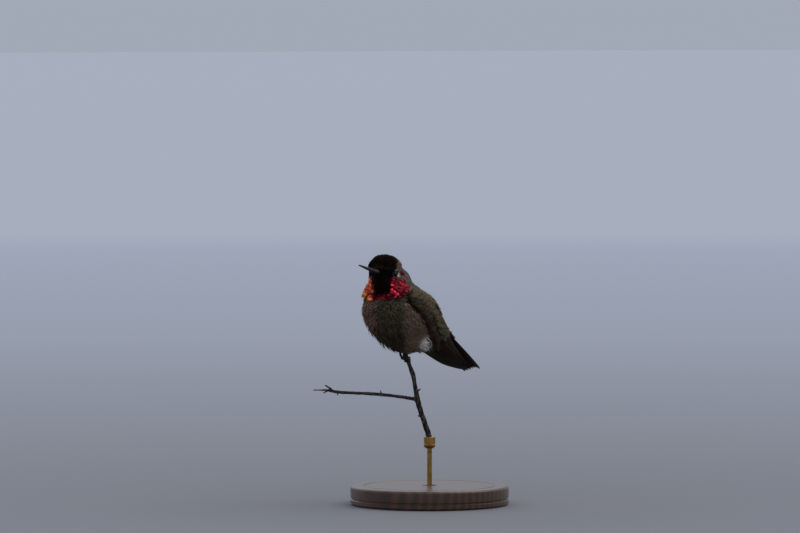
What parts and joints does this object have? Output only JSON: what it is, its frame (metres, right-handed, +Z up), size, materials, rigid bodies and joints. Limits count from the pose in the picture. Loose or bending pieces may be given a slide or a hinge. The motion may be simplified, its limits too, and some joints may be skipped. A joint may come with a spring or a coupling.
{
  "type": "hummingbird",
  "caption": "Male hummingbird with a rose-red bib, perched on top of a thin forked twig held by a round display stand.",
  "frame": {"origin": "middle of the stand's underside, on the floor", "axes": "+Z up, the bird's body faces -Y, its left side is +X"},
  "size_m": [0.066, 0.0751, 0.1047],
  "materials": {
    "head_feathers": "glossy scale feathers: black crown and face, rose-red bib",
    "body_feathers": "soft overlapping feathers: olive-bronze back, mottled grey belly",
    "flight_feathers": "smooth dusky brown vanes with a low sheen",
    "bill_horn": "black horn, satin",
    "eye": "wet gloss, almost black",
    "foot_skin": "small matt scales, blackish",
    "bark": "dry grey-brown bark with fine ridges and buds",
    "turned_wood": "turned and waxed dark hardwood",
    "rod_brass": "brushed, slightly toned brass"
  },
  "bodies": {
    "root": {"head": "head_feathers", "neck": "body_feathers", "trunk": "body_feathers", "wing_left": "flight_feathers", "wing_right": "flight_feathers", "tail": "flight_feathers", "bill": "bill_horn", "eye_left": "eye", "eye_right": "eye", "leg_left": "foot_skin", "leg_right": "foot_skin", "foot_left": "foot_skin", "foot_right": "foot_skin", "perch_twig": "bark", "stand_base": "turned_wood", "stand_rod": "rod_brass", "stand_ferrule": "rod_brass"}
  },
  "joints": []
}
